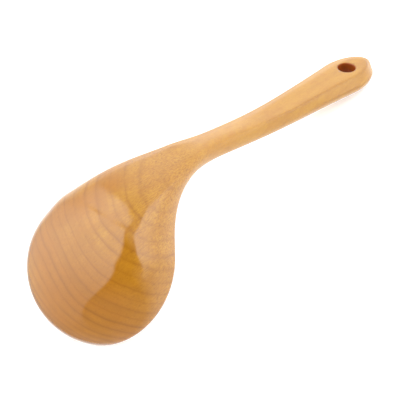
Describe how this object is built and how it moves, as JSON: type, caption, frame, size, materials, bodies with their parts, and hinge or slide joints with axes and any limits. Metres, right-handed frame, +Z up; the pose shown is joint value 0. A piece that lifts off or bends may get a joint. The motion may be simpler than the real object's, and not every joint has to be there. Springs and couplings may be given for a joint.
{
  "type": "wooden ladle",
  "caption": "Carved wooden ladle with a deep oval bowl, a cranked neck and a flat handle that widens to a rounded tip with a hanging hole.",
  "frame": {"origin": "on the table, below the centre of the ladle's bounding box, with the ladle lying face down", "axes": "+X along the ladle from bowl to handle tip, +Z up from the table towards the bowl's back; the ladle is symmetric about the XZ plane"},
  "size_m": [0.2634, 0.088, 0.0658],
  "materials": {
    "lacquered_wood": "clear gloss lacquer over honey-coloured wood with fine growth rings"
  },
  "bodies": {
    "root": {"ladle_body": "lacquered_wood"}
  },
  "joints": []
}
